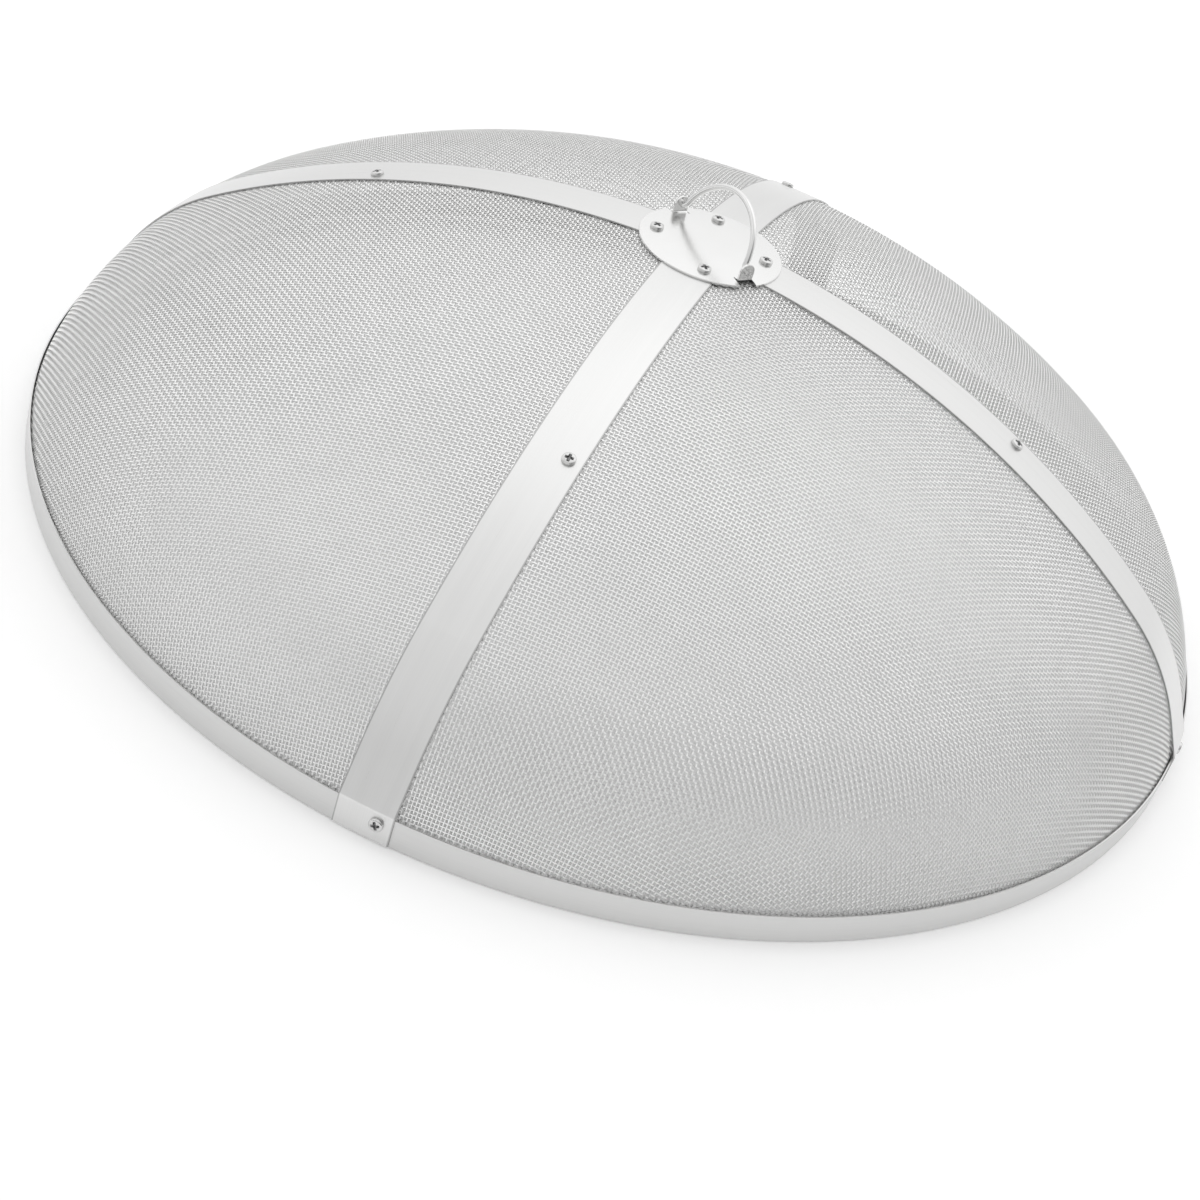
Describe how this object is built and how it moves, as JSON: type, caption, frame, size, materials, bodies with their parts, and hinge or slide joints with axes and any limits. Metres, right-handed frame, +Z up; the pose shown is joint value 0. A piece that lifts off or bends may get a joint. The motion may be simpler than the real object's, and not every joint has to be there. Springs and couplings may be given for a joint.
{
  "type": "domed fire pit spark screen",
  "caption": "Round domed mesh spark screen for a fire pit: quarter mesh panels under steel cover bands in a folded rim hoop, with a hub plate and a hinged wire lifting handle.",
  "frame": {"origin": "centre of the rim hoop's flat underside, on the surface that the screen rests on", "axes": "+Z up; +X along one cover band (the right one), +Y along the next one (the back one)"},
  "size_m": [0.9222, 0.9222, 0.2888],
  "materials": {
    "mesh": "woven bare stainless steel wire",
    "sheet": "satin brushed stainless steel",
    "plate": "polished stainless steel",
    "wire": "bright drawn stainless wire",
    "fastener": "plain stainless steel"
  },
  "bodies": {
    "screen": {"mesh_panel_back_right": "mesh", "mesh_panel_back_left": "mesh", "mesh_panel_front_left": "mesh", "mesh_panel_front_right": "mesh", "rim_channel_back_right": "sheet", "rim_channel_back_left": "sheet", "rim_channel_front_left": "sheet", "rim_channel_front_right": "sheet", "seam_strip_right": "sheet", "seam_strip_back": "sheet", "seam_strip_left": "sheet", "seam_strip_front": "sheet", "cover_band_right": "sheet", "cover_band_back": "sheet", "cover_band_left": "sheet", "cover_band_front": "sheet", "hub_clamping_disc": "sheet", "top_plate": "plate", "hub_screws": "fastener", "band_screws": "fastener", "rim_screws": "fastener", "hub_washers": "fastener", "band_washers": "fastener", "rim_washers": "fastener", "hub_nuts": "fastener", "band_nuts": "fastener", "rim_nuts": "fastener"},
    "handle": {"lift_handle": "wire"}
  },
  "joints": [
    {"name": "handle_swing", "type": "hinge", "parent": "screen", "child": "handle", "pos_m": [0, 0, 0.25228], "axis": [0.7826, -0.6225, 0], "range_deg": [-72, 112]}
  ]
}
